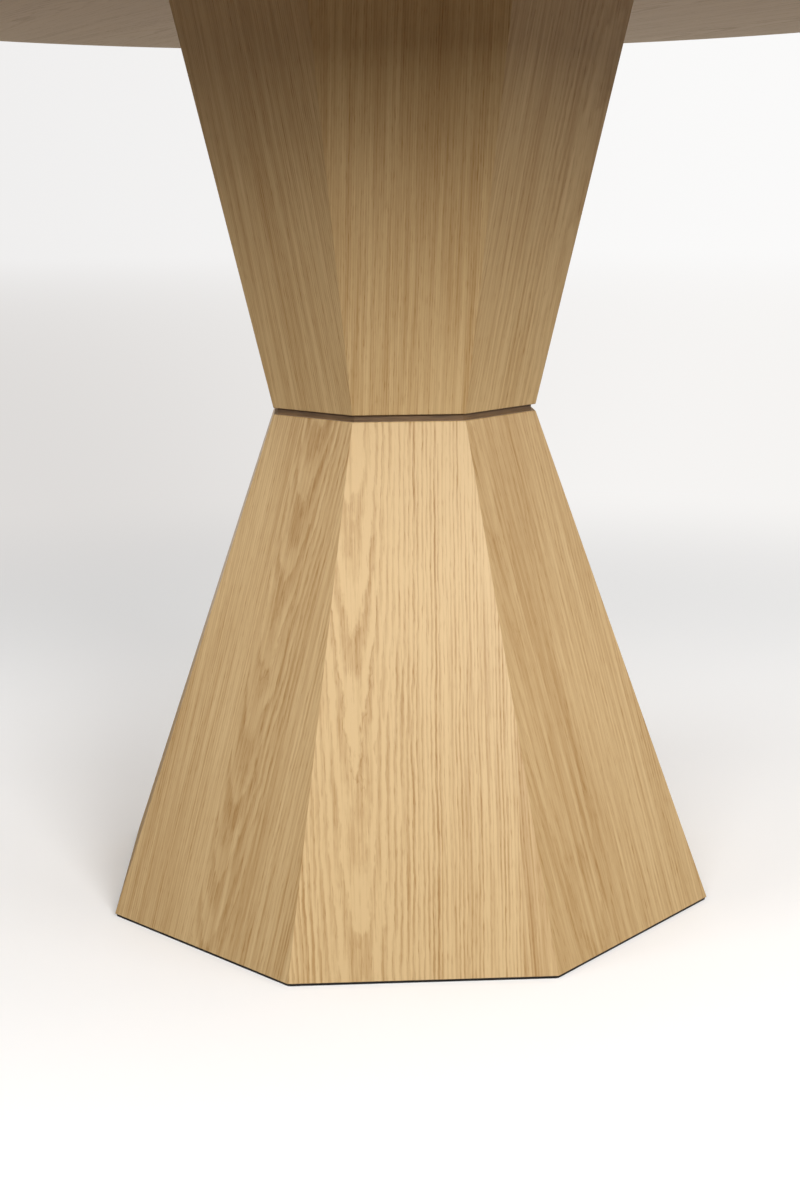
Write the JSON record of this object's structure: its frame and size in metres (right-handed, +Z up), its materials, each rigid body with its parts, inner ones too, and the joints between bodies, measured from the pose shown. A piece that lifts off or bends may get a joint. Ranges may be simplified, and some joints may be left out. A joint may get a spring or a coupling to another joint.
{
  "type": "pedestal table",
  "caption": "Round table with a disc top on an octagonal hourglass pedestal of mitred oak panels, with a dark waist ring and hidden levelling feet.",
  "frame": {"origin": "centre of the footprint, on the floor", "axes": "+Z up; the front flat of the octagonal pedestal faces -Y; +X is to the right of someone who faces the front"},
  "size_m": [1.3, 1.3, 0.75],
  "materials": {
    "oak_pedestal": "natural oak veneer, matt lacquer",
    "oak_top": "natural oak veneer, matt lacquer",
    "stained_oak": "dark brown stained",
    "board_core": "bare fibreboard",
    "birch_ply": "bare plywood",
    "black_laminate": "matt black laminate",
    "black_nylon": "moulded, satin",
    "black_steel": "black primer",
    "zinc_steel": "zinc plated",
    "brass_insert": "turned brass"
  },
  "bodies": {
    "table": {"top_veneer": "oak_top", "under_veneer": "oak_top", "edge_band": "oak_top", "top_core": "board_core", "top_inserts": "brass_insert", "waist_inserts": "brass_insert", "leveller_inserts": "brass_insert", "head_plate": "birch_ply", "upper_waist_plate": "birch_ply", "lower_waist_plate": "birch_ply", "base_frame": "birch_ply", "head_bolts": "zinc_steel", "head_washers": "zinc_steel", "waist_bolts": "zinc_steel", "waist_washers": "zinc_steel", "ballast_screws": "zinc_steel", "upper_panel_1": "oak_pedestal", "upper_panel_2": "oak_pedestal", "upper_panel_3": "oak_pedestal", "upper_panel_4": "oak_pedestal", "upper_panel_5": "oak_pedestal", "upper_panel_6": "oak_pedestal", "upper_panel_7": "oak_pedestal", "upper_panel_8": "oak_pedestal", "lower_panel_1": "oak_pedestal", "lower_panel_2": "oak_pedestal", "lower_panel_3": "oak_pedestal", "lower_panel_4": "oak_pedestal", "lower_panel_5": "oak_pedestal", "lower_panel_6": "oak_pedestal", "lower_panel_7": "oak_pedestal", "lower_panel_8": "oak_pedestal", "waist_ring": "stained_oak", "ballast_plate": "black_steel", "foot_plate": "black_laminate"},
    "leveller_pad_1": {"leveller_pad_1": "black_nylon"},
    "leveller_stem_1": {"leveller_stem_1": "zinc_steel"},
    "leveller_pad_2": {"leveller_pad_2": "black_nylon"},
    "leveller_stem_2": {"leveller_stem_2": "zinc_steel"},
    "leveller_pad_3": {"leveller_pad_3": "black_nylon"},
    "leveller_stem_3": {"leveller_stem_3": "zinc_steel"},
    "leveller_pad_4": {"leveller_pad_4": "black_nylon"},
    "leveller_stem_4": {"leveller_stem_4": "zinc_steel"}
  },
  "joints": [
    {"name": "leveller_1_height", "type": "slide", "parent": "table", "child": "leveller_pad_1", "axis": [0, 0, -1], "range_m": [0, 0.01]},
    {"name": "leveller_1_screw", "type": "hinge", "parent": "leveller_pad_1", "child": "leveller_stem_1", "pos_m": [0.13432, 0.13432, 0], "axis": [0, 0, -1], "range_deg": [0, 2880]},
    {"name": "leveller_2_height", "type": "slide", "parent": "table", "child": "leveller_pad_2", "axis": [0, 0, -1], "range_m": [0, 0.01]},
    {"name": "leveller_2_screw", "type": "hinge", "parent": "leveller_pad_2", "child": "leveller_stem_2", "pos_m": [-0.13432, 0.13432, 0], "axis": [0, 0, -1], "range_deg": [0, 2880]},
    {"name": "leveller_3_height", "type": "slide", "parent": "table", "child": "leveller_pad_3", "axis": [0, 0, -1], "range_m": [0, 0.01]},
    {"name": "leveller_3_screw", "type": "hinge", "parent": "leveller_pad_3", "child": "leveller_stem_3", "pos_m": [-0.13432, -0.13432, 0], "axis": [0, 0, -1], "range_deg": [0, 2880]},
    {"name": "leveller_4_height", "type": "slide", "parent": "table", "child": "leveller_pad_4", "axis": [0, 0, -1], "range_m": [0, 0.01]},
    {"name": "leveller_4_screw", "type": "hinge", "parent": "leveller_pad_4", "child": "leveller_stem_4", "pos_m": [0.13432, -0.13432, 0], "axis": [0, 0, -1], "range_deg": [0, 2880]}
  ],
  "couplings": [
    {"joint": "leveller_1_screw", "follows": "leveller_1_height", "rad_per_m": 5026.5},
    {"joint": "leveller_2_screw", "follows": "leveller_2_height", "rad_per_m": 5026.5},
    {"joint": "leveller_3_screw", "follows": "leveller_3_height", "rad_per_m": 5026.5},
    {"joint": "leveller_4_screw", "follows": "leveller_4_height", "rad_per_m": 5026.5}
  ]
}
